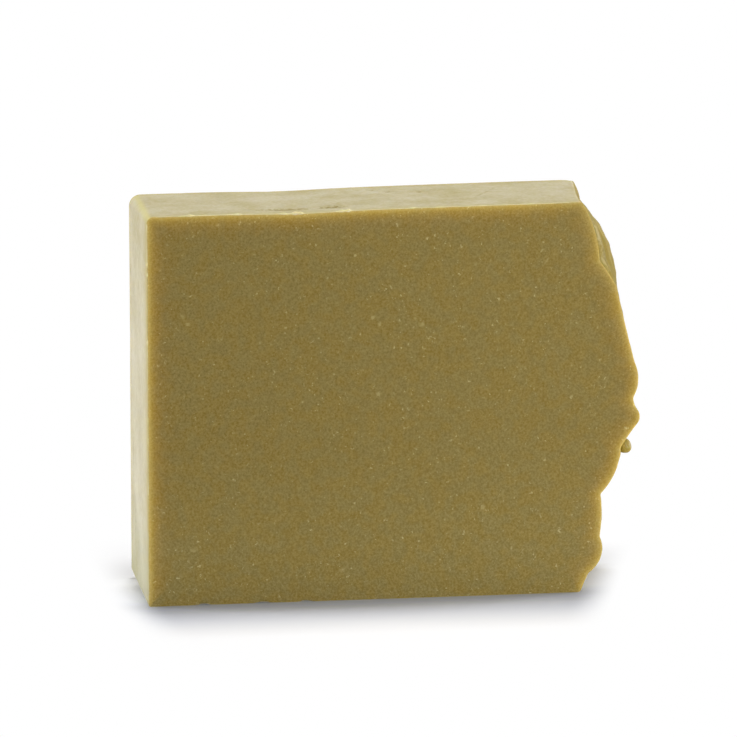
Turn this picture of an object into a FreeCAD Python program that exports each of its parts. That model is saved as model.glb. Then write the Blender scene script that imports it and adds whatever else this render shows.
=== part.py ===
# A bar of handmade soap, cut from a poured loaf. It is one solid.
#
# The bar stands on one of the loaf's side faces, as it would on a shelf. X runs from the loaf's
# flat underside (low X) to its spooned top (high X), Y runs through the slice from the near cut
# to the far cut, and Z runs across the loaf's width. The origin is on the surface that the bar
# stands on, under the middle of its overall box. All sizes are in millimetres.
#
# Four sides are flat: two are wire-cut and two were cast against the mould's walls, which lean
# apart a little so that the loaf comes out. The fifth is the loaf's underside. The sixth is the
# loaf's open top, drawn up with a spoon into soft folds that meet in creases.

import FreeCAD
import Part

import math
import os

# The slice, as it was poured and cut.
loaf_width = 70.0          # Z, across the mould at the loaf's underside
slice_thickness = 25.0     # Y, between the two wire cuts
shoulder = 77.8            # X, from the underside to the spooned top's foot at the near cut
peak_rise = 10.65          # X, from the shoulder to the tip of the highest fold
wall_lean = 0.55           # degrees that the mould's upper wall leans out, seen along Y

# Rounded edges.
upper_near_radius = 1.2    # where the mould's floor meets its upper wall, at the near cut
upper_far_radius = 2.0     # the same corner at the far cut
lower_near_radius = 0.4    # where it meets the lower wall, at the near cut
lower_far_radius = 2.3     # the same corner at the far cut, where the loaf slumped
cut_edge_radius = 0.3      # the edges that the wire left round the two cuts

# The spoon was drawn through the loaf at a slant, so each crease drops towards the far cut.
fold_slant = 6.0           # degrees

# The bead of soap that the spoon left standing in a crease.
bead_depth = 3.4           # Y, from the near cut to its middle
bead_stand = 1.3           # X, from the bottom of the crease to its middle
bead_length = 3.0          # along the crease's wall
bead_width = 2.5           # across

# How far the rough body runs past the slab that trims it.
trim_margin = 4.0

# The spooned top, from the foot of the bar up. Each row is one point of its outline: its place up
# the bar as a share of the loaf's width, and its rise over the shoulder at the near cut, half way
# through and at the far cut, as shares of the highest fold's rise. Creases and crests take turns,
# and an arc runs from each crease over the next crest to the next crease.
fold_points = [
    (-0.120, -0.140, 0.050, 0.020),  # below the foot, trimmed away
    (-0.060, -0.050, 0.095, 0.080),
    (0.000, 0.000, 0.120, 0.130),    # foot of the top at the near cut
    (0.022, 0.055, 0.200, 0.180),
    (0.050, 0.139, 0.220, 0.220),    # crease
    (0.070, 0.284, 0.330, 0.300),
    (0.144, 0.327, 0.410, 0.300),    # crease
    (0.200, 0.357, 0.530, 0.470),
    (0.255, 0.339, 0.340, 0.280),    # crease
    (0.298, 0.546, 0.650, 0.600),
    (0.373, 0.671, 0.660, 0.620),    # crease, where the bead stands
    (0.408, 0.823, 0.835, 0.800),
    (0.436, 0.963, 0.930, 0.865),    # shoulder of the peak
    (0.456, 1.000, 0.960, 0.895),
    (0.469, 0.970, 0.920, 0.845),    # back of the peak
    (0.482, 0.915, 0.865, 0.790),
    (0.502, 0.884, 0.790, 0.700),    # crease
    (0.553, 0.968, 0.955, 0.885),
    (0.595, 0.904, 0.865, 0.770),    # crease
    (0.691, 0.740, 0.815, 0.785),
    (0.793, 0.581, 0.770, 0.700),    # brow of the long slope
    (0.826, 0.450, 0.773, 0.658),
    (0.859, 0.295, 0.750, 0.608),    # crease, open at the near cut and filled behind it
    (0.937, 0.208, 0.528, 0.476),
    (1.010, 0.000, 0.135, 0.315),    # head of the top at the near cut
    (1.070, -0.110, 0.050, 0.180),
    (1.130, -0.240, -0.100, 0.010),  # above the head, trimmed away
]
bead_crease = fold_points[10]

# Places that follow from the sizes above.
underside = -(shoulder + peak_rise) / 2
near_cut = -slice_thickness / 2
trim_end = underside + shoulder + peak_rise + trim_margin
wall_rise = math.tan(math.radians(wall_lean))
fold_drop = math.tan(math.radians(fold_slant))


def upper_wall(x):
    """Height of the mould's upper wall at a place along X."""
    return loaf_width + (x - underside) * wall_rise


def slab():
    """The slab that the mould and the two cuts leave, with its flat sides and rounded edges."""
    outline = Part.makePolygon([
        FreeCAD.Vector(underside, near_cut, 0),
        FreeCAD.Vector(trim_end, near_cut, 0),
        FreeCAD.Vector(trim_end, near_cut, upper_wall(trim_end)),
        FreeCAD.Vector(underside, near_cut, upper_wall(underside)),
        FreeCAD.Vector(underside, near_cut, 0),
    ])
    body = Part.Face(outline).extrude(FreeCAD.Vector(0, slice_thickness, 0))
    body = body.makeFillet(upper_near_radius, upper_far_radius, corner_edges(body, loaf_width))
    body = body.makeFillet(lower_near_radius, lower_far_radius, corner_edges(body, 0))
    return body.makeFillet(cut_edge_radius, cut_edges(body))


def corner_edges(body, height):
    """The edge at one height where the underside meets a wall of the mould."""
    found = []
    for edge in body.Edges:
        box = edge.BoundBox
        if box.XMax < underside + 0.01 and box.ZLength < 0.01 and abs(box.ZMax - height) < 0.01:
            found.append(edge)
    return found


def cut_edges(body):
    """The edges round the near and the far cut, apart from those at the end that is trimmed."""
    found = []
    for edge in body.Edges:
        box = edge.BoundBox
        if box.YLength < 0.01 and box.XMin < trim_end - 0.01:
            found.append(edge)
    return found


def top_outline(station):
    """Outline of the rough body at one of three stations through the slice, as a closed wire.

    Station 0 is the near cut, 1 is half way through and 2 is the far cut."""
    depth = slice_thickness * station / 2
    points = []
    for row in fold_points:
        rise = row[1 + station] * peak_rise
        height = row[0] * loaf_width - depth * fold_drop
        points.append(FreeCAD.Vector(underside + shoulder + rise, near_cut + depth, height))
    edges = []
    for crease, crest, following in zip(points[0:-1:2], points[1::2], points[2::2]):
        edges.append(Part.Arc(crease, crest, following).toShape())
    back = underside - trim_margin
    low_corner = FreeCAD.Vector(back, points[0].y, points[0].z)
    high_corner = FreeCAD.Vector(back, points[-1].y, points[-1].z)
    edges.append(Part.LineSegment(points[-1], high_corner).toShape())
    edges.append(Part.LineSegment(high_corner, low_corner).toShape())
    edges.append(Part.LineSegment(low_corner, points[0]).toShape())
    return Part.Wire(edges)


def bead():
    """The bead: an ellipsoid that stands half sunk in its crease."""
    stretch = FreeCAD.Matrix()
    stretch.scale(bead_width / 2, bead_width / 2, bead_length / 2)
    body = Part.makeSphere(1.0).transformGeometry(stretch)
    body.translate(FreeCAD.Vector(
        underside + shoulder + bead_crease[1] * peak_rise + bead_stand,
        near_cut + bead_depth,
        bead_crease[0] * loaf_width - bead_depth * fold_drop,
    ))
    return body


def soap_bar():
    """The whole bar: the slab, trimmed to the spooned top, with the bead standing on it."""
    stations = [top_outline(station) for station in range(3)]
    rough = Part.makeLoft(stations, True, False)
    return slab().common(rough).fuse(bead())


os.makedirs("parts", exist_ok=True)
finished = soap_bar()
finished.exportStep("parts/soap_bar.step")
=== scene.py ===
# A bar of handmade soap: a slice that a wire cut from a poured loaf, standing on its long side.

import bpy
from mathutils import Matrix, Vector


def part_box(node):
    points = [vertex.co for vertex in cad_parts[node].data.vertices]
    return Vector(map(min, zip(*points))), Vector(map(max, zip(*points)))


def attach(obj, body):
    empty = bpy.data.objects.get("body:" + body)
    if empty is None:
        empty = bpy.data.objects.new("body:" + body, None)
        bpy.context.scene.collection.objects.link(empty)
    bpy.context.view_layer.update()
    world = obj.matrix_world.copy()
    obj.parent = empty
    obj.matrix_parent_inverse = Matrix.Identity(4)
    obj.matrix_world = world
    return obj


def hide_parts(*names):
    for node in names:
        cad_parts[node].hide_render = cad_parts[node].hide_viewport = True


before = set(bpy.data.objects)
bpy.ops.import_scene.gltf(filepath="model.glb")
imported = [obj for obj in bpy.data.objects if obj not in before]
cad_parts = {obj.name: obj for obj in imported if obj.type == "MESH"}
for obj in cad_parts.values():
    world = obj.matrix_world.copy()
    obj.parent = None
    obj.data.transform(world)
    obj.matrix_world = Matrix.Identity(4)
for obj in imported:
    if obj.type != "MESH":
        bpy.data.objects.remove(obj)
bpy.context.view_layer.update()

import math

import bpy
import numpy as np

# The bar
# One slice of cured soap. Two of its faces were cut with a wire, three were cast against the
# mould's floor and walls, and the wavy one is the loaf's open top, drawn up with a spoon.

millimetre = 0.001
low, high = [np.array(corner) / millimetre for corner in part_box("soap_bar")]
underside, near_cut = low[:2]
tip, far_cut = high[:2]
slice_thickness = far_cut - near_cut

loaf_width = 70.0
shoulder = underside + 77.8
peak_rise = tip - shoulder
wall_lean = math.tan(math.radians(0.55))
fold_slant = math.tan(math.radians(6.0))
upper_near_radius, upper_far_radius = 1.2, 2.0
lower_near_radius, lower_far_radius = 0.4, 2.3

# Each row is a crease or a crest of the spooned top: its place up the bar as a share of the loaf's
# width, and its rise over the shoulder at the near cut, half way and at the far cut, as shares of
# the highest fold's rise.
fold_points = np.array([
    (-0.120, -0.140, 0.050, 0.020),
    (-0.060, -0.050, 0.095, 0.080),
    (0.000, 0.000, 0.120, 0.130),
    (0.022, 0.055, 0.200, 0.180),
    (0.050, 0.139, 0.220, 0.220),
    (0.070, 0.284, 0.330, 0.300),
    (0.144, 0.327, 0.410, 0.300),
    (0.200, 0.357, 0.530, 0.470),
    (0.255, 0.339, 0.340, 0.280),
    (0.298, 0.546, 0.650, 0.600),
    (0.373, 0.671, 0.660, 0.620),
    (0.408, 0.823, 0.835, 0.800),
    (0.436, 0.963, 0.930, 0.865),
    (0.456, 1.000, 0.960, 0.895),
    (0.469, 0.970, 0.920, 0.845),
    (0.482, 0.915, 0.865, 0.790),
    (0.502, 0.884, 0.790, 0.700),
    (0.553, 0.968, 0.955, 0.885),
    (0.595, 0.904, 0.865, 0.770),
    (0.691, 0.740, 0.815, 0.785),
    (0.793, 0.581, 0.770, 0.700),
    (0.826, 0.450, 0.773, 0.658),
    (0.859, 0.295, 0.750, 0.608),
    (0.937, 0.208, 0.528, 0.476),
    (1.010, 0.000, 0.135, 0.385),
    (1.070, -0.110, 0.050, 0.225),
    (1.130, -0.240, -0.100, 0.010),
])
first_crease, last_crease = 4, 22
fold_spacing, foot_steps, head_steps = 0.41, 14, 32
cut_arris_radius = 0.22
arris_rows, side_rows, face_columns = 4, 42, 132
face_crowding = 0.6

# The skin's relief, in millimetres: the hollow on top, from the underside, and the depths of the
# waves and dimples on all sides and of the wrinkles on the spooned top.
hollow_depth, hollow_place, hollow_reach = 0.28, 27.0, 9.0
wave_depth, dimple_depth = 0.05, 0.05
wrinkle_depth, fine_wrinkle_depth, spooned_sink = 0.14, 0.05, 0.10

# Dents and nicks, in millimetres: the middle, how far it reaches along X, Y and Z, and its depth.
dents = [
    (-19.2, -7.7, 70.0, 5.5, 1.0, 2.0, 0.24),    # crease behind the near arris, on top
    (-10.5, -7.1, 70.0, 2.2, 1.1, 2.0, 0.36),
    (38.6, -8.8, 62.5, 3.0, 0.9, 3.6, 0.24),     # groove beside the upper valley
    (0.9, 6.4, 70.2, 1.8, 0.9, 2.0, 0.22),       # pits towards the far cut, on top
    (7.2, 4.9, 70.2, 0.9, 0.9, 2.0, 0.18),
    (-34.3, -12.5, 0.2, 0.8, 0.9, 0.6, 0.45),    # nicks in the near arris of the base
    (-23.8, -12.5, 0.1, 1.0, 0.9, 0.6, 0.35),
    (-16.1, -12.5, 0.1, 0.8, 0.9, 0.6, 0.35),
    (-44.2, 8.0, 14.0, 1.0, 2.5, 5.0, 0.15),     # a finger's press on the underside
    (37.4, 12.5, 71.2, 1.7, 2.2, 1.2, 0.50),     # rounded far end of the head
]


def smoothstep(t):
    """The curve 3t^2 - 2t^3 between 0 and 1, and flat outside."""
    t = np.clip(t, 0.0, 1.0)
    return t * t * (3.0 - 2.0 * t)


def lumps(points, size, seed):
    """Soft random lumps between -1 and 1: random heights on a cubic lattice whose cells have the
    given size, blended between each cell's eight corners with smoothstep weights."""
    heights = np.random.default_rng(seed).uniform(-1.0, 1.0, (32, 32, 32))
    place = points / size + 16.0
    cell = np.floor(place).astype(int)
    share = smoothstep(place - cell)
    total = np.zeros(points.shape[:-1])
    for corner in np.ndindex(2, 2, 2):
        weight = np.prod(np.where(corner, share, 1.0 - share), axis=-1)
        i, j, k = np.moveaxis((cell + corner) % 32, -1, 0)
        total += weight * heights[i, j, k]
    return total


def crowded_ends(count, crowding):
    """Shares from 0 to 1 in count steps, a blend of even steps and of a cosine's, whose steps
    shorten towards both ends."""
    even = np.linspace(0.0, 1.0, count + 1)
    return (1.0 - crowding) * even + crowding * (0.5 - 0.5 * np.cos(math.pi * even))


def arc(start, crest, end, share):
    """Points along the circle through three points. Its centre is where the perpendicular
    bisectors of the two chords from the start meet, and the angle runs evenly to the end."""
    to_crest, to_end = crest - start, end - start
    twice_area = 2.0 * (to_crest[..., 0] * to_end[..., 1] - to_crest[..., 1] * to_end[..., 0])
    crest_square = (to_crest ** 2).sum(-1)
    end_square = (to_end ** 2).sum(-1)
    centre = start + np.stack([
        (to_end[..., 1] * crest_square - to_crest[..., 1] * end_square) / twice_area,
        (to_crest[..., 0] * end_square - to_end[..., 0] * crest_square) / twice_area,
    ], -1)
    from_centre, to_last = start - centre, end - centre
    radius = np.hypot(from_centre[..., 0], from_centre[..., 1])
    angle = np.arctan2(from_centre[..., 1], from_centre[..., 0])
    sweep = np.arctan2(to_last[..., 1], to_last[..., 0]) - angle
    sweep = (sweep + math.pi) % (2.0 * math.pi) - math.pi
    turned = angle[..., None] + sweep[..., None] * share
    reach = radius[..., None] * np.stack([np.cos(turned), np.sin(turned)])
    return np.moveaxis(reach, 0, -1) + centre[..., None, :]


def upper_wall(x):
    """Height of the cast side on top: the mould's wall leans out along X, and the soap sank a
    little where it was poured, as a bell-shaped hollow across the whole side."""
    hollow = hollow_depth * np.exp(-((x - underside - hollow_place) / hollow_reach) ** 2)
    return loaf_width + (x - underside) * wall_lean - hollow


def spooned_outline(depth):
    """Outline of the spooned top at each share of the way through the slice, from the foot to
    the head. A parabola through the three stations carries each crease and crest through the
    slice, arcs join them, and the first and last pieces are trimmed to the base and the top."""
    parabola = np.stack([
        (1.0 - depth) * (1.0 - 2.0 * depth),
        4.0 * depth * (1.0 - depth),
        depth * (2.0 * depth - 1.0),
    ], -1)
    rise = parabola @ fold_points[:, 1:].T
    height = fold_points[:, 0] * loaf_width - depth[:, None] * slice_thickness * fold_slant
    points = np.stack([shoulder + rise * peak_rise, height], -1)
    pieces = []
    for crease in range(first_crease, last_crease, 2):
        ends = points[0, crease], points[0, crease + 2]
        steps = max(6, round(np.hypot(*(ends[1] - ends[0])) / fold_spacing))
        share = crowded_ends(steps, 0.5)[:-1]
        pieces.append(arc(points[:, crease], points[:, crease + 1], points[:, crease + 2], share))
    fine = np.linspace(0.0, 1.0, 80)
    foot = [arc(points[:, n], points[:, n + 1], points[:, n + 2], fine) for n in (0, 2)]
    head = [arc(points[:, n], points[:, n + 1], points[:, n + 2], fine) for n in (22, 24)]
    return np.concatenate([
        trimmed(np.concatenate(foot, 1), 0.0 * depth, points[:, first_crease, 1], foot_steps)[:, :-1],
        *pieces,
        trimmed(np.concatenate(head, 1), points[:, last_crease, 1], None, head_steps),
    ], 1)


def trimmed(curves, lowest, highest, steps):
    """The stretch of each curve between two heights, in steps that crowd at its ends. Where no
    highest is given, the stretch ends where the curve meets the cast side on top."""
    share = crowded_ends(steps, 0.6)
    rows = []
    for row, curve in enumerate(curves):
        end = loaf_width if highest is None else highest[row]
        if highest is None:
            for _ in range(4):
                end = upper_wall(np.interp(end, curve[:, 1], curve[:, 0]))
        height = lowest[row] + (end - lowest[row]) * share
        rows.append(np.stack([np.interp(height, curve[:, 1], curve[:, 0]), height], -1))
    return np.array(rows)


def outline(depth):
    """The whole outline at each share of the way through the slice, anticlockwise as the near
    cut shows it: the base, the spooned top, the cast side on top and the loaf's underside. A
    quarter circle rounds each corner of the underside, and each half of it belongs to one side."""
    wave = spooned_outline(depth)
    columns = wave.shape[1] - 1
    low_radius = lower_near_radius + (lower_far_radius - lower_near_radius) * depth
    high_radius = upper_near_radius + (upper_far_radius - upper_near_radius) * depth
    base = rounded_run(low_radius, wave[:, 0], face_columns, 1.0, 0.0)
    top = rounded_run(high_radius, wave[:, -1], face_columns, -1.0, 1.0)
    share = crowded_ends(columns, face_crowding)
    low_end, high_end = base[:, :1], top[:, :1]
    height = low_end[..., 1] + (high_end[..., 1] - low_end[..., 1]) * share
    low_lift = np.clip(1.0 - height / low_radius[:, None], 0.0, 1.0)
    crown = upper_wall(underside + high_radius)[:, None]
    high_lift = np.clip(1.0 - (crown - height) / high_radius[:, None], 0.0, 1.0)
    in_from_low = low_radius[:, None] * (1.0 - np.sqrt(1.0 - low_lift ** 2))
    in_from_high = high_radius[:, None] * (1.0 - np.sqrt(1.0 - high_lift ** 2))
    left = np.stack([underside + in_from_low + in_from_high, height], -1)
    left[:, 0], left[:, -1] = low_end[:, 0], high_end[:, 0]
    loop = np.concatenate([base[:, :-1], wave[:, :-1], top[:, :0:-1], left[:, :0:-1]], 1)
    return loop, columns


def rounded_run(radius, end, steps, upward, on_top):
    """A run along the base or the top from the middle of its rounded corner at the underside to
    an end on the spooned top: the corner's height falls as a circle, and then it is level."""
    share = crowded_ends(steps, face_crowding)
    half = radius * (1.0 - math.sqrt(0.5))
    start = underside + half
    x = start[:, None] + (end[:, :1] - start[:, None]) * share
    into_corner = np.clip(1.0 - (x - underside) / radius[:, None], 0.0, 1.0)
    lift = radius[:, None] * (1.0 - np.sqrt(1.0 - into_corner ** 2))
    level = upper_wall(x) if on_top else np.zeros_like(x)
    return np.stack([x, level + upward * lift], -1)


def softened(loop, weight, passes):
    """The loop with each point drawn towards the middle of its neighbours, by a quarter of the
    second difference times its weight, a number of times over."""
    for _ in range(passes):
        bend = np.roll(loop, 1, 1) + np.roll(loop, -1, 1) - 2.0 * loop
        loop = loop + 0.25 * weight[..., None] * bend
    return loop


def side_shell():
    """The skin from the near cut to the far cut on a grid. Rows run through the slice and turn
    round a quarter circle at each arris, and columns run round the outline. Returns its points,
    their outward directions, each row's share of cut face, and the length of one face's side."""
    turn = np.linspace(0.0, 0.5 * math.pi, arris_rows + 1)
    flat = crowded_ends(side_rows, 0.55)[1:-1]
    inset = np.concatenate([1.0 - np.sin(turn), np.zeros(len(flat)), 1.0 - np.sin(turn[::-1])])
    edge = 1.0 - np.cos(turn)
    share_cut = np.concatenate([np.cos(turn), np.zeros(len(flat)), np.cos(turn[::-1])])
    facing = np.concatenate([-np.cos(turn), np.zeros(len(flat)), np.cos(turn[::-1])])
    middle = cut_arris_radius + (slice_thickness - 2.0 * cut_arris_radius) * flat
    y = np.concatenate([
        edge * cut_arris_radius, middle, slice_thickness - edge[::-1] * cut_arris_radius,
    ])
    loop, columns = outline(y / slice_thickness)
    corner = np.zeros(loop.shape[:2])
    for place in (face_columns, face_columns + columns):
        corner[:, place - 4:place + 5] = 1.0
    wave = np.zeros(loop.shape[:2])
    wave[:, face_columns:face_columns + columns] = 1.0
    loop = softened(loop, wave, 1)
    loop = softened(loop, corner, 6)
    along = np.roll(loop, -1, 1) - np.roll(loop, 1, 1)
    outward = np.stack([along[..., 1], -along[..., 0]], -1)
    outward /= np.linalg.norm(outward, axis=-1, keepdims=True)
    loop = loop - outward * (inset * cut_arris_radius)[:, None, None]
    through = np.repeat(near_cut + y[:, None], loop.shape[1], 1)
    points = np.stack([loop[..., 0], through, loop[..., 1]], -1)
    sideways = np.sqrt(1.0 - facing ** 2)[:, None]
    level = np.repeat(facing[:, None], loop.shape[1], 1)
    normals = np.stack([outward[..., 0] * sideways, level, outward[..., 1] * sideways], -1)
    return points, normals, share_cut, columns


def cut_face(edge, columns):
    """A cut face inside one closed edge, as a Coons patch: the mean of the rule between its left
    and right sides and the rule between its base and top, less the rule between its corners."""
    u = crowded_ends(face_columns, face_crowding)[:, None]
    v = np.linspace(0.0, 1.0, columns + 1)[None, :]
    base = edge[:face_columns + 1]
    right = edge[face_columns:face_columns + columns + 1]
    top = edge[face_columns + columns:2 * face_columns + columns + 1][::-1]
    left = np.concatenate([edge[2 * face_columns + columns:], edge[:1]])[::-1]
    u, v = u[..., None], v[..., None]
    across = (1.0 - u) * left[None] + u * right[None]
    upward = (1.0 - v) * base[:, None] + v * top[:, None]
    corners = (
        (1.0 - u) * (1.0 - v) * base[0] + u * (1.0 - v) * base[-1]
        + (1.0 - u) * v * top[0] + u * v * top[-1]
    )
    return across + upward - corners


def face_numbers(columns, first_row, first_inner):
    """Vertex numbers of a cut face's grid: its rim is a row of the side shell, and the rest are
    its own vertices, numbered from first_inner."""
    numbers = np.empty((face_columns + 1, columns + 1), int)
    rim = first_row + np.arange(2 * (face_columns + columns))
    numbers[:, 0] = rim[:face_columns + 1]
    numbers[-1, :] = rim[face_columns:face_columns + columns + 1]
    numbers[:, -1] = rim[face_columns + columns:2 * face_columns + columns + 1][::-1]
    numbers[0, 1:] = rim[2 * face_columns + columns:][::-1]
    inner = (face_columns - 1) * (columns - 1)
    numbers[1:-1, 1:-1] = first_inner + np.arange(inner).reshape(face_columns - 1, columns - 1)
    return numbers


def quads(numbers):
    """Quads of a grid of vertex numbers, anticlockwise when the second index runs to the left of
    the first."""
    return np.stack([
        numbers[:-1, :-1], numbers[1:, :-1], numbers[1:, 1:], numbers[:-1, 1:],
    ], -1).reshape(-1, 4)


def distance_to(points, edge):
    """Distance of each point from the nearest of an edge's points, and that point's number."""
    nearest = np.empty(len(points))
    number = np.empty(len(points), int)
    for start in range(0, len(points), 4000):
        gap = np.linalg.norm(points[start:start + 4000, None] - edge[None], axis=-1)
        number[start:start + 4000] = gap.argmin(1)
        nearest[start:start + 4000] = gap.min(1)
    return nearest, number


def bell(points, middle, reach):
    """A bell-shaped share round a place: 1 in its middle, and a third at its reach on each axis."""
    return np.exp(-(((points - middle) / reach) ** 2).sum(-1))


def relief(points, normals, cut, spooned):
    """The points moved in from their plain form, against their outward directions: broad waves
    all over, wrinkles that run along the folds of the spooned top, dimples in the cast skin, and
    a bell for each of the dents."""
    broad = 0.5 + 0.5 * lumps(points, 11.0, 1)
    dimples = smoothstep(lumps(points, 3.2, 2) * 1.6 - 0.6)
    slanted = points + points[..., 1:2] * np.array([0.0, 0.0, fold_slant])
    wrinkles = lumps(slanted * np.array([0.8, 0.22, 1.0]), 1.7, 3)
    small = lumps(slanted * np.array([1.0, 0.6, 1.0]), 0.9, 4)
    cast = (1.0 - cut) * (1.0 - spooned)
    depth = wave_depth * broad + dimple_depth * cast * dimples
    wrinkled = wrinkle_depth * wrinkles + fine_wrinkle_depth * small + spooned_sink
    depth = depth + spooned * (1.0 - cut) * wrinkled
    for *place, deepest in dents:
        depth = depth + deepest * bell(points, np.array(place[:3]), np.array(place[3:]))
    return points - normals * depth[..., None]


underside_powder, wall_powder = 0.50, 0.22
rubbed_reach, underside_rubbed_reach = 1.1, 2.4


def on_underside(points):
    """1 on the loaf's underside and 0 further in than its corners, with a smooth step between."""
    return smoothstep(underside + 1.2 - points[:, 0])


def bloom_depth(points):
    """How thick the pale powder is on the cast sides, from 0 to 1: thin on the walls, and thick
    on the loaf's underside, where it thins out high up and at the far end of the foot."""
    towards_far = smoothstep((points[:, 1] + 6.0) / 14.0)
    low_down = smoothstep((18.0 - points[:, 2]) / 16.0)
    high_up = smoothstep((points[:, 2] - 48.0) / 18.0)
    thick = underside_powder - 0.14 * high_up + 0.03 * low_down - 0.26 * towards_far * low_down
    return wall_powder + (thick - wall_powder) * on_underside(points)


def rubbed(points):
    """Where the powder was rubbed off down to yellow soap, from 0 to 1: close to both cuts, by an
    exponential of the distance, and furthest from the near cut on the loaf's underside."""
    facing_left = on_underside(points)
    higher = 0.75 + 0.25 * smoothstep(points[:, 2] / 30.0)
    reach = rubbed_reach + (underside_rubbed_reach - rubbed_reach) * facing_left
    near = np.exp(-(points[:, 1] - near_cut).clip(0.0) / reach)
    far = np.exp(-(far_cut - points[:, 1]).clip(0.0) / rubbed_reach)
    return np.maximum((0.6 + 0.4 * facing_left * higher) * near, 0.6 * far)


def rind_and_painted_glow_strength(points):
    """How strong the pale rind and its painted glow are: stronger up the side next to the underside,
    by an exponential of the distance from it, and weaker beside the head of the spooned top. The glow
    is painted light, standing in for light that comes through the thin edges from the brighter sides."""
    x, height = points[:, 0], points[:, 2]
    by_underside = smoothstep((height - 18.0) / 36.0) * np.exp((underside - x) / 5.0)
    by_head = smoothstep((height - 48.0) / 10.0) * smoothstep((x - 22.0) / 10.0)
    return 1.0 + 0.36 * by_underside - 0.24 * by_head


def painted_foot_shade(points):
    """How much painted shade lies on the powder at the foot of the underside, from 0 to 1, fading
    upwards: darker and greener, standing in for the low, green light near the floor.
    """
    return 0.32 * on_underside(points) * smoothstep((20.0 - points[:, 2]) / 16.0)


def paler_corner(points):
    """Where handling has polished the corner above the underside, as a bell along X whose middle
    moves in from the corner towards the far cut."""
    middle = underside + 0.3 + 1.0 * (points[:, 1] - near_cut) / slice_thickness
    from_corner = (points[:, 0] - middle) / 0.5
    return 0.75 * np.exp(-from_corner ** 2) * smoothstep(points[:, 2] - 68.2)


def bar_mesh():
    """The closed mesh of the bar, with its masks as attributes."""
    shell, shell_normals, share_cut, columns = side_shell()
    rows, around = shell.shape[:2]
    near = cut_face(shell[0], columns)
    far = cut_face(shell[-1], columns)
    inner = near[1:-1, 1:-1].reshape(-1, 3)
    far_inner = far[1:-1, 1:-1].reshape(-1, 3)
    points = np.concatenate([shell.reshape(-1, 3), inner, far_inner])
    faces_out = np.zeros((len(inner), 3))
    faces_out[:, 1] = -1.0
    normals = np.concatenate([shell_normals.reshape(-1, 3), faces_out, -faces_out])
    cut = np.concatenate([np.repeat(share_cut, around), np.ones(2 * len(inner))])
    spooned_rim = np.zeros(around)
    spooned_rim[face_columns:face_columns + columns + 1] = 1.0
    spooned_rim = softened(spooned_rim[None, :, None], np.ones((1, around)), 3)[0, :, 0]
    # The rind's share round each cut face: none along the base, whose edge lies in shade, and full
    # round the other sides, so that it also carries painted glow of the light that comes through the
    # lit edges.
    rind_and_painted_glow_rim = np.ones(around)
    rind_and_painted_glow_rim[:face_columns] = 0.0
    rind_and_painted_glow_rim = softened(rind_and_painted_glow_rim[None, :, None], np.ones((1, around)), 40)[0, :, 0]
    near_gap, near_number = distance_to(inner[:, ::2], shell[0][:, ::2])
    far_gap, far_number = distance_to(far_inner[:, ::2], shell[-1][:, ::2])
    spooned, rind_and_painted_glow = [
        np.concatenate([np.tile(rim, rows), rim[near_number], rim[far_number]])
        for rim in (spooned_rim, rind_and_painted_glow_rim)
    ]
    depth = points[:len(shell.reshape(-1, 3)), 1]
    side_gap = np.minimum(depth - near_cut, far_cut - depth)
    arris = np.concatenate([side_gap, near_gap, far_gap])
    points = relief(points, normals, cut, spooned)
    side_numbers = np.arange(rows * around).reshape(rows, around)
    side_numbers = np.concatenate([side_numbers, side_numbers[:, :1]], 1)
    near_numbers = face_numbers(columns, 0, rows * around)
    far_numbers = face_numbers(columns, (rows - 1) * around, rows * around + len(inner))
    faces = np.concatenate([quads(side_numbers), quads(near_numbers), quads(far_numbers)[:, ::-1]])
    mesh = bpy.data.meshes.new("soap_bar_skin")
    mesh.from_pydata(points * millimetre, [], faces)
    mesh.polygons.foreach_set("use_smooth", np.ones(len(mesh.polygons), bool))
    masks = {
        "cut": cut, "spooned": spooned, "rind_and_painted_glow": rind_and_painted_glow * rind_and_painted_glow_strength(points), "arris": arris,
        "bloom": bloom_depth(points), "rubbed": rubbed(points), "corner": paler_corner(points),
        "foot_shade": painted_foot_shade(points),
    }
    for name, values in masks.items():
        mesh.attributes.new(name, "FLOAT", "POINT").data.foreach_set("value", values)
    return mesh


bar = bpy.data.objects.new("cured_bar", bar_mesh())
bpy.context.scene.collection.objects.link(bar)
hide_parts("soap_bar")
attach(bar, "root")


def feed(tree, socket, value):
    """Sets a socket to a value, or links it where the value is another node's output."""
    if isinstance(value, bpy.types.NodeSocket):
        tree.links.new(value, socket)
    else:
        socket.default_value = value


def node(tree, kind, inputs=None, **settings):
    """A shader node with its settings and its inputs."""
    made = tree.nodes.new(kind)
    for name, value in settings.items():
        setattr(made, name, value)
    for name, value in (inputs or {}).items():
        feed(tree, made.inputs[name], value)
    return made


def empty_material(name):
    """A new material with no nodes in it, and its node tree."""
    material = bpy.data.materials.new(name)
    material.use_nodes = True
    material.node_tree.nodes.clear()
    return material, material.node_tree


def attribute(tree, name):
    """The value of one of the mesh's masks."""
    return node(tree, "ShaderNodeAttribute", attribute_name=name).outputs["Fac"]


def mapped(tree, value, start, end, low=0.0, high=1.0):
    """A value carried from one range to another by the curve 3t^2 - 2t^3, and held at its ends."""
    made = node(tree, "ShaderNodeMapRange", {
        "Value": value, "From Min": start, "From Max": end, "To Min": low, "To Max": high,
    }, interpolation_type="SMOOTHSTEP")
    return made.outputs["Result"]


def blended(tree, share, under, over, blend="MIX"):
    """Two colours, mixed by a share."""
    made = node(tree, "ShaderNodeMix", data_type="RGBA", blend_type=blend)
    for place, value in (("Factor_Float", share), ("A_Color", under), ("B_Color", over)):
        feed(tree, next(one for one in made.inputs if one.identifier == place), value)
    return next(one for one in made.outputs if one.identifier == "Result_Color")


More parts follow.
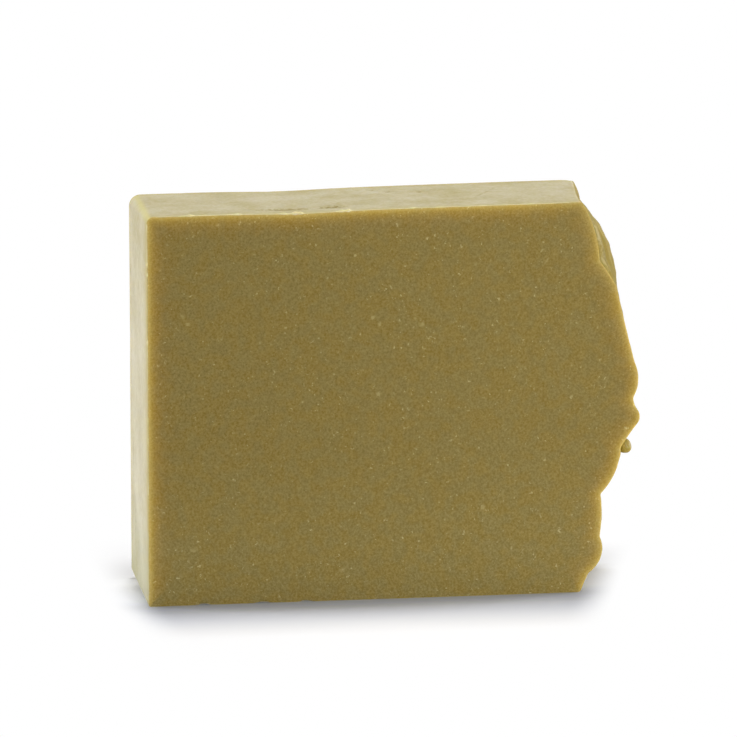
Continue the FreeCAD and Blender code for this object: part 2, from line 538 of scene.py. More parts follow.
def noise(tree, place, scale, detail, roughness=0.5):
    """Clouds between 0 and 1, which are finer the larger the scale is."""
    return node(tree, "ShaderNodeTexNoise", {
        "Vector": place, "Scale": scale, "Detail": detail, "Roughness": roughness,
    }).outputs["Fac"]


def maths(tree, operation, first, *others):
    """Numbers joined by an operation, from left to right."""
    for other in others:
        made = node(tree, "ShaderNodeMath", {0: first, 1: other}, operation=operation)
        first = made.outputs["Value"]
    return first


def grey(tree, level):
    """A colour whose red, green and blue are all one number."""
    levels = {"Red": level, "Green": level, "Blue": level}
    return node(tree, "ShaderNodeCombineColor", levels).outputs["Color"]


def tinted(tree, under, over):
    """Two colours multiplied, which carries a tint over the whole of the first."""
    return blended(tree, 1.0, under, over, "MULTIPLY")


def colour(red, green, blue):
    """A display colour from 0 to 255, as the linear colour that a shader takes."""
    shares = np.array([red, green, blue]) / 255.0
    linear = np.where(shares <= 0.04045, shares / 12.92, ((shares + 0.055) / 1.055) ** 2.4)
    return (*linear.tolist(), 1.0)


def new_group(name, inputs, outputs):
    """An empty shader group with named sockets. An input's starting value also gives its kind: a
    number, three numbers for a vector or four for a colour. An output is given by its kind."""
    group = bpy.data.node_groups.new(name, "ShaderNodeTree")
    for title, value in inputs.items():
        kind = {1: "Float", 3: "Vector", 4: "Color"}[np.size(value)]
        socket = group.interface.new_socket(title, in_out="INPUT", socket_type="NodeSocket" + kind)
        socket.default_value = value
    for title, kind in outputs.items():
        group.interface.new_socket(title, in_out="OUTPUT", socket_type="NodeSocket" + kind)
    entry = group.nodes.new("NodeGroupInput")
    ending = group.nodes.new("NodeGroupOutput")
    return group, entry.outputs, ending.inputs


drift_scale, grain_scale, crowd_scale = 420.0, 2500.0, 260.0
grain_tint = (1.0, 0.85, 0.42, 1.0)
speck_kinds = [(1500.0, 0.635), (800.0, 0.68)]    # how fine each kind is, and its threshold
speck_edge = 0.10


def soap_grain():
    """Body of the soap: two clay tints that drift into each other, fine grain, and pale specks
    that crowd in some places."""
    group, entry, ending = new_group("soap_grain", {
        "Vector": (0.0, 0.0, 0.0),
        "Warm Tint": (0.2, 0.15, 0.05, 1.0),
        "Green Tint": (0.2, 0.16, 0.06, 1.0),
        "Speck Tint": (0.4, 0.35, 0.2, 1.0),
        "Grain Strength": 1.0,
        "Speck Strength": 1.0,
    }, {"Color": "Color", "Height": "Float"})
    place = entry["Vector"]
    share = mapped(group, noise(group, place, drift_scale, 1.0), 0.36, 0.64)
    body = blended(group, share, entry["Warm Tint"], entry["Green Tint"])
    grain = noise(group, place, grain_scale, 2.0, 0.8)
    lightness = mapped(group, grain, 0.28, 0.72, -1.0, 1.0)
    shade = grey(group, maths(group, "MULTIPLY", lightness, entry["Grain Strength"]))
    body = blended(group, 1.0, body, tinted(group, shade, grain_tint), "ADD")
    crowd = mapped(group, noise(group, place, crowd_scale, 1.0), 0.35, 0.65, 0.25, 1.0)
    spot = maths(group, "MAXIMUM", *[speck_mask(group, place, *kind) for kind in speck_kinds])
    spot = maths(group, "MULTIPLY", spot, crowd, entry["Speck Strength"])
    body = blended(group, spot, body, entry["Speck Tint"])
    height = maths(group, "ADD", lightness, maths(group, "MULTIPLY", spot, 1.5))
    group.links.new(body, ending["Color"])
    group.links.new(height, ending["Height"])
    return group


def speck_mask(tree, place, scale, threshold):
    """Ragged specks: the tops of a fine noise that stand over a threshold."""
    grit = noise(tree, place, scale, 2.0, 0.65)
    return mapped(tree, grit, threshold, threshold + speck_edge)


def spoon_streaks():
    """Streaks that the spoon drew along each fold, from one wall of the mould towards the other:
    a noise that is stretched along Z, which makes the soap's colour lighter or darker."""
    group, entry, ending = new_group("spoon_streaks", {
        "Vector": (0.0, 0.0, 0.0),
        "Color": (0.2, 0.15, 0.05, 1.0),
        "Light Tint": (0.5, 0.4, 0.2, 1.0),
        "Dark Tint": (0.1, 0.08, 0.02, 1.0),
        "Share": 0.5,
    }, {"Color": "Color"})
    stretched = node(group, "ShaderNodeMapping", {
        "Vector": entry["Vector"], "Scale": (260.0, 520.0, 75.0),
    })
    streaks = noise(group, stretched.outputs["Vector"], 1.0, 3.0, 0.6)
    light = maths(group, "MULTIPLY", mapped(group, streaks, 0.52, 0.72), entry["Share"])
    dark = maths(group, "MULTIPLY", mapped(group, streaks, 0.48, 0.30), entry["Share"])
    body = blended(group, light, entry["Color"], entry["Light Tint"])
    group.links.new(blended(group, dark, body, entry["Dark Tint"]), ending["Color"])
    return group


def cast_bloom():
    """Pale powder of soda ash on the sides that were cast, mixed with the thin skin under it by
    how thick it lies, broken up by soft patches and fine dust, and rubbed off to yellow soap."""
    group, entry, ending = new_group("cast_bloom", {
        "Vector": (0.0, 0.0, 0.0),
        "Thickness": 0.5,
        "Rubbed Share": 0.0,
        "Powder Tint": (0.6, 0.55, 0.4, 1.0),
        "Thin Tint": (0.5, 0.45, 0.25, 1.0),
        "Rubbed Tint": (0.55, 0.5, 0.25, 1.0),
    }, {"Color": "Color", "Height": "Float"})
    place = entry["Vector"]
    patches = noise(group, place, 130.0, 5.0, 0.62)
    dust = noise(group, place, 1300.0, 3.0, 0.7)
    patchy = mapped(group, patches, 0.3, 0.7, -0.12, 0.12)
    dusty = mapped(group, dust, 0.3, 0.7, -0.08, 0.08)
    powder = maths(group, "ADD", patchy, entry["Thickness"], dusty)
    powder = maths(group, "MINIMUM", maths(group, "MAXIMUM", powder, 0.0), 1.0)
    skin = blended(group, powder, entry["Thin Tint"], entry["Powder Tint"])
    worn = mapped(group, patches, 0.3, 0.6, 0.6, 1.0)
    worn = maths(group, "MULTIPLY", entry["Rubbed Share"], worn)
    group.links.new(blended(group, worn, skin, entry["Rubbed Tint"]), ending["Color"])
    group.links.new(dust, ending["Height"])
    return group


def pale_rind_with_painted_glow():
    """The paler, yellower soap just under the skin, together with painted glow that stands in for
    light coming in from the side through the thin edges. Each of red, green and blue fades with the
    distance from the skin as an exponential of its own."""
    group, entry, ending = new_group("pale_rind_with_painted_glow", {
        "Color": (0.2, 0.15, 0.05, 1.0),
        "Distance": 1.0,
        "Rind And Glow Tint": (0.4, 0.33, 0.2, 1.0),
        "Share": 1.0,
        "Red Depth": 0.95,
        "Green Depth": 0.72,
        "Blue Depth": 0.33,
    }, {"Color": "Color"})
    fading = node(group, "ShaderNodeCombineColor")
    for channel in ("Red", "Green", "Blue"):
        steps = maths(group, "DIVIDE", entry["Distance"], entry[channel + " Depth"])
        left = maths(group, "POWER", math.exp(-1.0), steps)
        group.links.new(left, fading.inputs[channel])
    rind_and_glow = tinted(group, fading.outputs["Color"], entry["Rind And Glow Tint"])
    group.links.new(blended(group, entry["Share"], entry["Color"], rind_and_glow, "ADD"), ending["Color"])
    return group


def soft_mark():
    """One soft mark, such as a blotch, a pit or a crease: a share that falls from 1 in its middle
    to 0 at its reach along each axis, after a turn about Z or Y, with a ragged edge."""
    group, entry, ending = new_group("soft_mark", {
        "Vector": (0.0, 0.0, 0.0),
        "Middle": (0.0, 0.0, 0.0),
        "Turn": (0.0, 0.0, 0.0),
        "Reach": (0.001, 0.001, 0.001),
        "Share": 1.0,
    }, {"Share": "Float"})
    local = node(group, "ShaderNodeMapping", {
        "Vector": entry["Vector"], "Location": entry["Middle"],
        "Rotation": entry["Turn"], "Scale": entry["Reach"],
    }, vector_type="TEXTURE")
    gap = node(group, "ShaderNodeVectorMath", {0: local.outputs["Vector"]}, operation="LENGTH")
    ragged = mapped(group, noise(group, entry["Vector"], 1400.0, 2.0, 0.6), 0.25, 0.75, -0.5, 0.5)
    gap = maths(group, "ADD", gap.outputs["Value"], ragged)
    share = maths(group, "MULTIPLY", mapped(group, gap, 0.1, 1.0, 1.0, 0.0), entry["Share"])
    group.links.new(share, ending["Share"])
    return group


grain_group = soap_grain()
streak_group = spoon_streaks()
bloom_group = cast_bloom()
rind_and_glow_group = pale_rind_with_painted_glow()
mark_group = soft_mark()

# Marks, in millimetres: the middle, the turn about Y and Z in degrees, the reach along X, Y and Z,
# and the share.
pale_marks = [
    (-4.0, -12.5, 51.1, 0, 0, 0.55, 0.5, 0.60, 0.50),    # undissolved lumps in the near cut
    (-3.0, -12.5, 49.8, 30, 0, 0.60, 0.5, 0.50, 0.45),
    (3.6, -12.5, 50.7, 20, 0, 0.45, 0.5, 0.65, 0.45),
    (4.7, -12.5, 49.5, 0, 0, 0.60, 0.5, 0.55, 0.50),
    (-4.0, -12.5, 38.4, 0, 0, 0.50, 0.5, 0.50, 0.40),
    (-3.0, -12.5, 37.2, 10, 0, 0.60, 0.5, 0.55, 0.50),
    (-37.9, -12.5, 52.0, 20, 0, 0.45, 0.5, 0.60, 0.40),
    (-37.0, -12.5, 50.7, 0, 0, 0.45, 0.5, 0.50, 0.40),
    (-7.8, -12.5, 51.3, 0, 0, 0.30, 0.5, 0.30, 0.65),    # single bright grains
    (-7.2, -12.5, 62.2, 0, 0, 0.30, 0.5, 0.30, 0.70),
    (0.9, -12.5, 64.7, 0, 0, 0.28, 0.5, 0.28, 0.55),
    (-19.6, -12.5, 49.6, 0, 0, 0.30, 0.5, 0.28, 0.60),
    (-16.6, -12.5, 36.1, 0, 0, 0.30, 0.5, 0.28, 0.60),
    (1.2, -12.5, 58.6, 0, 0, 0.28, 0.5, 0.28, 0.50),
    (15.8, -12.5, 16.2, 0, 0, 0.6, 0.5, 0.6, 0.50),
    (-36.1, -12.5, 10.1, 0, 0, 0.8, 0.5, 0.8, 0.40),
    (-9.6, -12.5, 5.6, 35, 0, 1.6, 0.5, 0.5, 0.30),
    (26.1, -12.5, 62.0, 55, 0, 1.1, 0.5, 0.3, 0.55),    # scratches beside the upper corner
    (27.0, -12.5, 60.2, 60, 0, 0.9, 0.5, 0.25, 0.40),
    (-36.0, -12.5, 66.3, 50, 0, 0.8, 0.5, 0.25, 0.40),
    (-31.5, -12.5, 68.2, 0, 0, 0.5, 0.5, 0.3, 0.55),
]
# Painted highlights: pale marks on the spooned side where the ridges beside the upper valley catch
# the light.
painted_ridge_highlights = [
    (37.0, -10.7, 64.6, 0, 0, 3.0, 1.80, 3.2, 0.52),    # ridges beside the upper valley
    (38.2, -10.9, 60.0, 0, 0, 3.0, 1.60, 2.4, 0.42),
]
# Darker marks with less powder. The crease and pits on top are darker olive, the drag line and the
# streaks on the underside are rubbed, and the darkness in the nicks of the base's arris is painted
# shade.
worn_and_shaded_marks = [
    (-19.2, -7.7, 70.1, 0, 1, 5.8, 1.10, 2.0, 0.75),    # crease on top
    (-10.5, -7.1, 70.1, 0, 2, 2.8, 1.50, 2.0, 1.00),
    (-1.2, 8.3, 70.1, 0, -20, 1.2, 0.6, 2.0, 0.60),     # pits on top
    (1.5, 6.1, 70.1, 0, -20, 1.1, 0.7, 2.0, 0.90),
    (7.2, 4.9, 70.1, 0, 0, 0.6, 0.9, 2.0, 0.80),
    (18.4, 1.5, 70.1, 0, 61, 6.5, 0.45, 2.0, 0.25),     # drag line on top
    (-34.3, -12.5, 0.2, 0, 0, 0.9, 0.9, 0.5, 1.00),     # nicks in the near arris of the base
    (-23.8, -12.5, 0.1, 0, 0, 0.9, 0.9, 0.4, 0.90),
    (-16.1, -12.5, 0.0, 0, 0, 0.8, 0.9, 0.4, 0.90),
    (-44.2, 6.0, 12.0, 0, 0, 2.0, 1.2, 4.5, 0.35),      # rubbed streaks on the underside
    (-44.2, 1.0, 8.0, 0, 0, 2.0, 0.8, 2.6, 0.30),
    (-44.2, 8.6, 24.0, 0, 0, 2.0, 1.2, 5.0, 0.30),
]


def placed(tree, group, inputs):
    """A group in a material, with that material's values."""
    return node(tree, "ShaderNodeGroup", inputs, node_tree=group)


def marks_of(tree, place, rows):
    """The largest share of any of the marks."""
    share = 0.0
    for x, y, z, tip, turn, *reach, boldness in rows:
        mark = placed(tree, mark_group, {
            "Vector": place,
            "Middle": (x * millimetre, y * millimetre, z * millimetre),
            "Turn": (0.0, -math.radians(tip), math.radians(turn)),
            "Reach": tuple(size * millimetre for size in reach),
            "Share": boldness,
        })
        share = maths(tree, "MAXIMUM", mark.outputs["Share"], share)
    return share


scatter_reach, soap_ior, bump_depth = (1.0, 0.72, 0.3), 1.46, 0.00003


def soap_surface(tree, height, bump_strength, values):
    """Gives a material soap's surface: light scatters in it, furthest in red and least in blue,
    and a bump takes up its fine height. The other values are each material's own."""
    bump = node(tree, "ShaderNodeBump", {
        "Strength": bump_strength, "Distance": bump_depth, "Height": height,
    })
    shader = node(tree, "ShaderNodeBsdfPrincipled", {
        **values,
        "Subsurface Radius": scatter_reach,
        "IOR": soap_ior,
        "Normal": bump.outputs["Normal"],
    })
    node(tree, "ShaderNodeOutputMaterial", {"Surface": shader.outputs["BSDF"]})


def cured_soap():
    """Cured soap: olive inside, with a paler rind at its thin edges and painted glow there for the
    light that gets through them, pale with powder on its cast sides, and yellower, smoother and
    streaked on its spooned top. Painted light and shade lie on it too: the cut lighter towards the
    head and low down, painted shade on the powder at the foot of the underside and in the nicks of
    the base, and painted highlights on ridges of the spooned side."""
    material, tree = empty_material("cured_soap")
    place = node(tree, "ShaderNodeTexCoord").outputs["Object"]
    cut, spooned = attribute(tree, "cut"), attribute(tree, "spooned")
    inside = placed(tree, grain_group, {
        "Vector": place,
        "Warm Tint": colour(122, 105, 54),
        "Green Tint": colour(120, 106, 60),
        "Speck Tint": colour(168, 159, 112),
        "Grain Strength": 0.037,
        "Speck Strength": 0.7,
    })
    top_skin = placed(tree, grain_group, {
        "Vector": place,
        "Warm Tint": colour(126, 107, 35),
        "Green Tint": colour(121, 106, 37),
        "Speck Tint": colour(158, 144, 84),
        "Grain Strength": 0.020,
        "Speck Strength": 0.3,
    })
    worn_and_shaded = marks_of(tree, place, worn_and_shaded_marks)
    lost = maths(tree, "MULTIPLY", worn_and_shaded, 0.45)
    powder = placed(tree, bloom_group, {
        "Vector": place,
        "Thickness": maths(tree, "SUBTRACT", attribute(tree, "bloom"), lost),
        "Rubbed Share": attribute(tree, "rubbed"),
        "Powder Tint": colour(232, 227, 209),
        "Thin Tint": colour(171, 158, 110),
        "Rubbed Tint": colour(188, 168, 90),
    })
    split = node(tree, "ShaderNodeSeparateXYZ", {"Vector": place}).outputs
    # Painted light: the cut is lighter towards the head, standing in for the front light falling more
    # strongly from the right.
    painted_light_towards_head = mapped(tree, split["X"], underside * millimetre, tip * millimetre, 0.96, 1.07)
    body = tinted(tree, inside.outputs["Color"], grey(tree, painted_light_towards_head))
    # Painted light: the cut is lighter and bluer low down, standing in for the light that the shaded
    # floor no longer bounces onto its foot.
    higher = mapped(tree, split["Z"], 0.0, 0.032)
    painted_light_at_foot = blended(tree, higher, (1.13, 1.16, 1.24, 1.0), (1.0, 1.0, 1.0, 1.0))
    body = tinted(tree, body, painted_light_at_foot)
    body = blended(tree, marks_of(tree, place, pale_marks), body, colour(160, 149, 100))
    # Paler rind along the cut's edges, with painted glow of the light that comes through them.
    rind_and_glow = placed(tree, rind_and_glow_group, {
        "Color": body,
        "Distance": attribute(tree, "arris"),
        "Rind And Glow Tint": (0.245, 0.188, 0.064, 1.0),
        "Share": attribute(tree, "rind_and_painted_glow"),
    })
    drawn = placed(tree, streak_group, {
        "Vector": place,
        "Color": top_skin.outputs["Color"],
        "Light Tint": colour(166, 148, 84),
        "Dark Tint": colour(98, 84, 34),
        "Share": 0.45,
    })
    # Painted highlights on the ridges beside the upper valley.
    ridge_highlights = marks_of(tree, place, painted_ridge_highlights)
    spooned_skin = blended(tree, ridge_highlights, drawn.outputs["Color"], colour(174, 162, 122))
    polished = attribute(tree, "corner")
    powdered = blended(tree, polished, powder.outputs["Color"], colour(201, 192, 132))
    # Painted shade, darker and greener, on the powder at the foot of the underside.
    powdered = blended(tree, attribute(tree, "foot_shade"), powdered, colour(178, 184, 156))
    skin = blended(tree, mapped(tree, spooned, 0.2, 0.8), powdered, spooned_skin)
    # The marks darken the skin to olive; in the nicks this darkness is painted shade.
    skin = blended(tree, maths(tree, "MULTIPLY", worn_and_shaded, 0.6), skin, colour(132, 118, 70))
    base = blended(tree, mapped(tree, cut, 0.5, 0.95), skin, rind_and_glow.outputs["Color"])
    waxy = maths(tree, "MULTIPLY", spooned, maths(tree, "SUBTRACT", 1.0, cut))
    height = maths(tree, "MULTIPLY", inside.outputs["Height"], cut)
    height = maths(tree, "ADD", height, powder.outputs["Height"])
    soap_surface(tree, height, 0.35, {
        "Base Color": base,
        "Roughness": mapped(tree, waxy, 0.0, 1.0, 0.62, 0.5),
        "Subsurface Weight": 0.35,
        "Subsurface Scale": 0.0016,
        "Specular IOR Level": 0.05,
    })
    return material


soap = cured_soap()
bar.data.materials.append(soap)

# The bead
# A drop of soap that ran off the spoon and set in a crease of the loaf's top, close to the near
# cut. It is the same soap, and it sticks to the bar where it set.

bead_depth, bead_stand = 3.4, 1.3
bead_length, bead_width = 2.9, 2.4
bead_flattening = 0.86    # its lower half's height, as a share of a round one's
bead_rings, bead_ribs = 40, 56


def bead_mesh():
    """A ball on a grid of two angles, stretched upwards, flattened a little underneath and made
    uneven with lumps: each ring's radius is a sine to the power 0.85."""
    crease = fold_points[10]
    middle = np.array([
        shoulder + crease[1] * peak_rise + bead_stand,
        near_cut + bead_depth,
        crease[0] * loaf_width - bead_depth * fold_slant,
    ])
    polar = np.linspace(0.0, math.pi, bead_rings + 1)[1:-1, None]
    around = np.linspace(0.0, 2.0 * math.pi, bead_ribs, endpoint=False)[None, :]
    ring = np.sin(polar) ** 0.85
    level = np.repeat(np.cos(polar), bead_ribs, 1)
    directions = np.stack([ring * np.cos(around), ring * np.sin(around), level], -1)
    poles = np.array([[0.0, 0.0, 1.0], [0.0, 0.0, -1.0]])
    directions = np.concatenate([directions.reshape(-1, 3), poles])
    reach = np.tile([bead_width, bead_width, bead_length], (len(directions), 1))
    reach[directions[:, 2] < 0.0, 2] *= bead_flattening
    points = middle + directions * reach / 2.0
    points = points + directions * (0.10 * lumps(points, 1.1, 8))[:, None]
    numbers = np.arange((bead_rings - 1) * bead_ribs).reshape(bead_rings - 1, bead_ribs)
    numbers = np.concatenate([numbers, numbers[:, :1]], 1)
    faces = quads(numbers).tolist()
    top_pole, low_pole = len(points) - 2, len(points) - 1
    faces += [(top_pole, one, other) for one, other in zip(numbers[0], numbers[0, 1:])]
    faces += [(low_pole, other, one) for one, other in zip(numbers[-1], numbers[-1, 1:])]
    mesh = bpy.data.meshes.new("soap_bead")
    mesh.from_pydata(points * millimetre, [], faces)
    mesh.polygons.foreach_set("use_smooth", np.ones(len(mesh.polygons), bool))
    return mesh


def loose_soap(name, warm, green, roughness):
    """Soap with no powder on it, for what stands proud of the bar: all of it is thin enough for
    light to get through."""
    material, tree = empty_material(name)
    grain = placed(tree, grain_group, {
        "Vector": node(tree, "ShaderNodeTexCoord").outputs["Object"],
        "Warm Tint": warm,
        "Green Tint": green,
        "Speck Tint": colour(190, 176, 118),
        "Grain Strength": 0.03,
        "Speck Strength": 0.3,
    })
    soap_surface(tree, grain.outputs["Height"], 0.3, {
        "Base Color": grain.outputs["Color"],
        "Roughness": roughness,
        "Subsurface Weight": 0.5,
        "Subsurface Scale": 0.001,
        "Specular IOR Level": 0.3,
    })
    return material


set_drop = loose_soap("set_drop", colour(150, 130, 52), colour(145, 129, 58), 0.45)
bead = bpy.data.objects.new("soap_bead", bead_mesh())
bead.data.materials.append(set_drop)
bpy.context.scene.collection.objects.link(bead)
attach(bead, "root")

# The wire's burr
# The wire pulled up a thin ragged lip of soap along the near cut's arrises, with a few larger
# curls. It is paler than the soap because it has dried right through.

lip_sides = 8
lip_step = 0.2
top_curls = [(-36.5, 0.6, 0.24), (-19.9, 0.7, 0.18), (-17.9, 0.6, 0.34), (-16.9, 0.4, 0.26),
             (-9.6, 0.6, 0.26), (-8.4, 0.4, 0.32), (-28.0, 0.6, 0.14), (3.0, 0.5, 0.12)]
underside_curls = [(61.5, 0.3, 0.20), (59.7, 0.3, 0.20), (47.6, 0.35, 0.18), (68.6, 0.6, 0.14)]
base_curls = [(9.5, 0.3, 0.09), (16.6, 0.3, 0.08), (24.4, 0.4, 0.10)]


def lip(line, along, outward, curls, thin, seed):
    """A thin closed tube along an arris. Its radius is a floor of lumps plus a bell for each curl,
    and the thicker it is, the further it leans out over the cut."""
    lumpy = lumps(line, 1.3, seed)
    radius = thin * (1.0 + np.clip(lumpy, 0.0, 1.0))
    for place, reach, rise in curls:
        radius = radius + rise * np.exp(-((along - place) / reach) ** 2)
    ends = np.minimum(np.arange(len(line)), np.arange(len(line))[::-1])
    radius = radius * smoothstep(ends / 6.0) + 0.004
    middle = line + outward * (0.55 * radius - 0.09)[:, None]
    turn = np.linspace(0.0, 2.0 * math.pi, lip_sides, endpoint=False)
    direction = np.gradient(line, axis=0)
    direction /= np.linalg.norm(direction, axis=1, keepdims=True)
    sideways = np.cross(direction, outward)
    shell = (
        middle[:, None]
        + np.cos(turn)[None, :, None] * outward[:, None] * radius[:, None, None]
        + np.sin(turn)[None, :, None] * sideways[:, None] * (0.6 * radius)[:, None, None]
    )
    numbers = np.arange(len(line) * lip_sides).reshape(len(line), lip_sides)
    wrapped = np.concatenate([numbers, numbers[:, :1]], 1)
    faces = quads(wrapped).tolist() + [numbers[0][::-1].tolist(), numbers[-1].tolist()]
    return shell.reshape(-1, 3), faces


def lips():
    """The lips of the near cut: along the top, the underside and the base, joined in one mesh."""
    inwards = cut_arris_radius * (1.0 - math.sqrt(0.5))
    top_x = np.arange(underside + 1.0, shoulder - 1.5, lip_step)
    side_z = np.arange(1.5, loaf_width - 0.8, lip_step)
    base_x = np.arange(underside + 1.0, shoulder - 3.0, lip_step)
    near = near_cut + inwards
    top_line = np.stack([top_x, np.full_like(top_x, near), upper_wall(top_x) - inwards], -1)
    side_x = np.full_like(side_z, underside + inwards)
    side_line = np.stack([side_x, np.full_like(side_z, near), side_z], -1)
    base_line = np.stack([base_x, np.full_like(base_x, near), np.full_like(base_x, 0.3)], -1)
    lean = math.sqrt(0.5)
    strips = [
        (top_line, top_x, (0.0, -lean, lean), top_curls, 0.075, 11),
        (side_line, side_z, (-lean, -lean, 0.0), underside_curls, 0.055, 12),
        (base_line, base_x, (0.0, -1.0, 0.0), base_curls, 0.02, 13),
    ]
    points, faces = [], []
    for line, along, direction, curls, thin, seed in strips:
        outward = np.tile(np.array(direction), (len(line), 1))
        first = sum(len(part) for part in points)
        strip_points, strip_faces = lip(line, along, outward, curls, thin, seed)
        points.append(strip_points)
        faces += [[first + number for number in face] for face in strip_faces]
    mesh = bpy.data.meshes.new("wire_lip")
    mesh.from_pydata(np.concatenate(points) * millimetre, [], faces)
    mesh.polygons.foreach_set("use_smooth", np.ones(len(mesh.polygons), bool))
    return mesh


dried_lip = loose_soap("dried_lip", colour(204, 195, 152), colour(197, 188, 144), 0.6)
lip_piece = bpy.data.objects.new("wire_lip", lips())
lip_piece.data.materials.append(dried_lip)
bpy.context.scene.collection.objects.link(lip_piece)
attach(lip_piece, "root")

# The floor
# A sheet of white paper that the bar stands on. The camera sees it pure white away from the bar, and
# near the bar it keeps the bar's soft shadow, with painted shade added along the near foot and behind
# the bar.

floor_size = 3.0
foot_left, foot_right = underside * millimetre, shoulder * millimetre
foot_near, foot_far = near_cut * millimetre, far_cut * millimetre

# Where the kept shadow begins and ends: X at the left and the right, the distance in front of the
# foot, and Y behind it. The slants move the left edge in towards the front, and the right edge out
# towards the back.
left_edge = foot_left - 0.0064, foot_left + 0.0026
right_edge = foot_right + 0.0022, foot_right + 0.0102
front_edge = 0.002, 0.052
back_edge = foot_far + 0.0075, foot_far + 0.0375
left_slant, right_slant = 0.12, 0.28

# Beside the slumped corner the paper shows less of the shadow, painted lighter: where that starts and
# stops along Y, how much of the shadow goes, and how far it reaches under the bar.
slump_start, slump_end = foot_far - 0.0095, foot_far - 0.0040
slump_stop = foot_far - 0.0018, foot_far - 0.0002
slump_share, slump_reach = 0.36, 0.004

# Painted shade: darker along the near foot and behind the bar, and bluer in front of it against the
# soap's yellow bounce light.
contact_reach, contact_level = 0.007, 0.70
behind_start, behind_end = (foot_far - 0.006, foot_far - 0.001), (foot_far, foot_far + 0.022)
behind_share = 0.26
bounce_reach = 0.003, 0.024
bounce_tint, paper_tint = (1.0, 1.06, 1.24, 1.0), (0.98, 0.98, 1.0, 1.0)


def seen_directly(tree):
    """1 for rays that show a surface as it looks: from the camera, off a gloss or through glass."""
    path = node(tree, "ShaderNodeLightPath").outputs
    return maths(
        tree, "MAXIMUM", path["Is Camera Ray"], path["Is Glossy Ray"], path["Is Transmission Ray"],
    )


def falling(tree, value, start, end):
    """A share that falls from 1 to 0 over a range, with smooth ends."""
    return mapped(tree, value, start, end, 1.0, 0.0)


def kept_shadow(tree, across, depth, in_front):
    """How much of its shadow the paper shows: all of it close to the foot and none further off,
    with a softer edge in front than at the sides, and less beside the slumped corner."""
    pulled = maths(tree, "MULTIPLY", maths(tree, "MAXIMUM", in_front, 0.0), left_slant)
    pulled = maths(tree, "SUBTRACT", across, pulled)
    slanted = maths(tree, "SUBTRACT", across, maths(tree, "MULTIPLY", depth, right_slant))
    slump = maths(
        tree, "MULTIPLY",
        mapped(tree, depth, slump_start, slump_end, 0.0, slump_share),
        falling(tree, depth, *slump_stop),
        falling(tree, across, foot_left, foot_left + slump_reach),
    )
    return maths(
        tree, "MULTIPLY",
        mapped(tree, pulled, *left_edge),
        falling(tree, slanted, *right_edge),
        maths(tree, "SUBTRACT", 1.0, slump),
        falling(tree, in_front, *front_edge),
        falling(tree, depth, *back_edge),
    )


def white_paper():
    """White paper: plain diffuse for light. For the camera it turns to pure white with the distance
    from the bar's foot. Along the near cut's foot it has painted shade, darker and bluer against the
    soap's yellow bounce light, and behind the bar a little painted shade too."""
    material, tree = empty_material("white_paper")
    place = node(tree, "ShaderNodeTexCoord").outputs["Object"]
    split = node(tree, "ShaderNodeSeparateXYZ", {"Vector": place}).outputs
    across, depth = split["X"], split["Y"]
    in_front = maths(tree, "SUBTRACT", foot_near, depth)
    gap = maths(tree, "ABSOLUTE", in_front, 0.0)
    behind = maths(
        tree, "MULTIPLY",
        mapped(tree, depth, *behind_start), falling(tree, depth, *behind_end), behind_share,
    )
    contact = mapped(tree, gap, 0.0, contact_reach, contact_level, 1.0)
    painted_dimness = maths(tree, "MULTIPLY", contact, maths(tree, "SUBTRACT", 1.0, behind))
    bounce = mapped(tree, gap, *bounce_reach)
    seen_colour = blended(tree, bounce, bounce_tint, paper_tint)
    seen_colour = tinted(tree, seen_colour, grey(tree, painted_dimness))
    paper = node(tree, "ShaderNodeBsdfDiffuse", {"Color": (0.97, 0.97, 0.97, 1.0)}).outputs["BSDF"]
    shaded = node(tree, "ShaderNodeBsdfDiffuse", {"Color": seen_colour}).outputs["BSDF"]
    white = node(tree, "ShaderNodeEmission", {"Strength": 1.0}).outputs["Emission"]
    kept = kept_shadow(tree, across, depth, in_front)
    seen = node(tree, "ShaderNodeMixShader", {0: kept, 1: white, 2: shaded})
    both = node(tree, "ShaderNodeMixShader", {
        0: seen_directly(tree), 1: paper, 2: seen.outputs["Shader"],
    })
    node(tree, "ShaderNodeOutputMaterial", {"Surface": both.outputs["Shader"]})
    return material


half = floor_size / 2.0
floor_corners = [(-half, -half, 0.0), (half, -half, 0.0), (half, half, 0.0), (-half, half, 0.0)]
floor_mesh = bpy.data.meshes.new("floor_sheet")
floor_mesh.from_pydata(floor_corners, [], [(0, 1, 2, 3)])
floor_mesh.materials.append(white_paper())
floor = bpy.data.objects.new("floor", floor_mesh)
bpy.context.scene.collection.objects.link(floor)

# The light
# Soft boxes above and behind the bar, at both sides and in front of it, and an even white room.

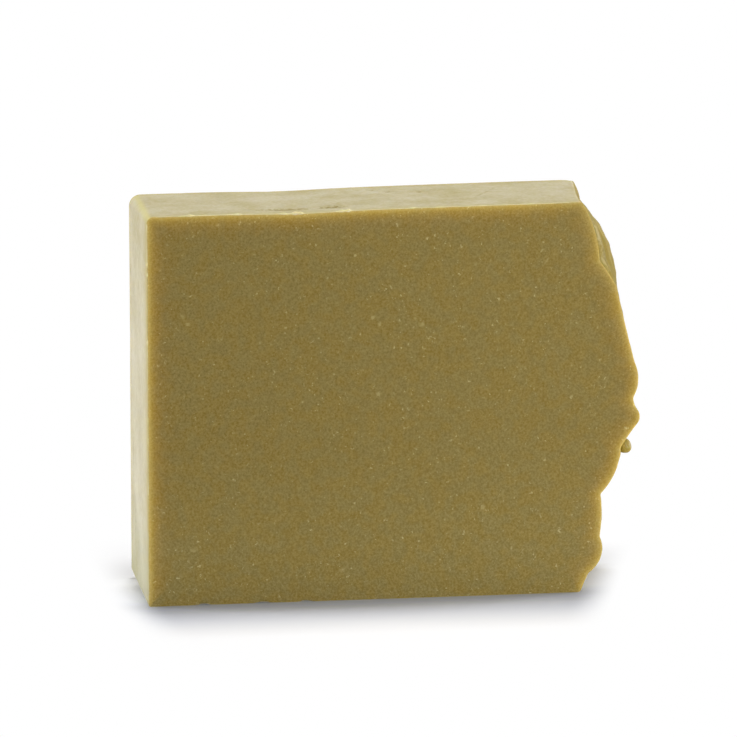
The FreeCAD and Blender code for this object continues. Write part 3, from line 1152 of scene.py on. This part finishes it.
room_strength = 0.22
soft_boxes = {
    "overhead": {"place": (0.01, 0.14, 0.75), "size": (0.10, 0.20), "power": 3.4},
    "left": {"place": (-0.72, 0.20, 0.12), "size": (0.22, 0.22), "power": 2.6},
    "right": {"place": (0.68, 0.15, 0.12), "size": (0.22, 0.22), "power": 2.6},
    "front": {"place": (0.35, -0.95, 0.13), "size": (0.24, 0.24), "power": 7.6},
}


def soft_box(name, place, size, power):
    """A flat lamp that faces the middle of the bar."""
    lamp = bpy.data.lights.new(name, "AREA")
    lamp.shape = "RECTANGLE"
    lamp.size, lamp.size_y = size
    lamp.energy = power
    holder = bpy.data.objects.new(name, lamp)
    holder.location = place
    middle = (0.0, 0.0, loaf_width * millimetre / 2)
    away = np.array(place) - middle
    holder.rotation_euler = (
        math.atan2(math.hypot(away[0], away[1]), away[2]),
        0.0,
        math.atan2(away[0], -away[1]),
    )
    bpy.context.scene.collection.objects.link(holder)


for name, values in soft_boxes.items():
    soft_box(name, **values)

room = bpy.data.worlds.new("white_room")
bpy.context.scene.world = room
room.use_nodes = True
room.node_tree.nodes.clear()
white = (1.0, 1.0, 1.0, 1.0)
lit = node(room.node_tree, "ShaderNodeBackground", {"Color": white, "Strength": room_strength})
seen_white = node(room.node_tree, "ShaderNodeBackground", {"Color": white, "Strength": 1.0})
room_mix = node(room.node_tree, "ShaderNodeMixShader", {
    0: seen_directly(room.node_tree),
    1: lit.outputs["Background"],
    2: seen_white.outputs["Background"],
})
node(room.node_tree, "ShaderNodeOutputWorld", {"Surface": room_mix.outputs["Shader"]})

# The camera
# A long lens, a little left of square to the near cut and a little above the bar.

camera_turn = math.radians(-8.997)
camera_height = math.radians(10.6235)
camera_distance = 1.23739
camera_focal = 341.93
camera_aim = np.array([-0.00483, near_cut * millimetre, 0.04186])

backward = np.array([
    math.sin(camera_turn) * math.cos(camera_height),
    -math.cos(camera_turn) * math.cos(camera_height),
    math.sin(camera_height),
])
camera = bpy.data.objects.new("camera", bpy.data.cameras.new("camera"))
camera.data.lens = camera_focal
camera.data.sensor_width = 36.0
camera.data.clip_end = 20.0
camera.location = camera_aim + backward * camera_distance
camera.rotation_euler = (0.5 * math.pi - camera_height, 0.0, camera_turn)
bpy.context.scene.collection.objects.link(camera)
bpy.context.scene.camera = camera

bpy.context.scene.view_settings.view_transform = "Standard"
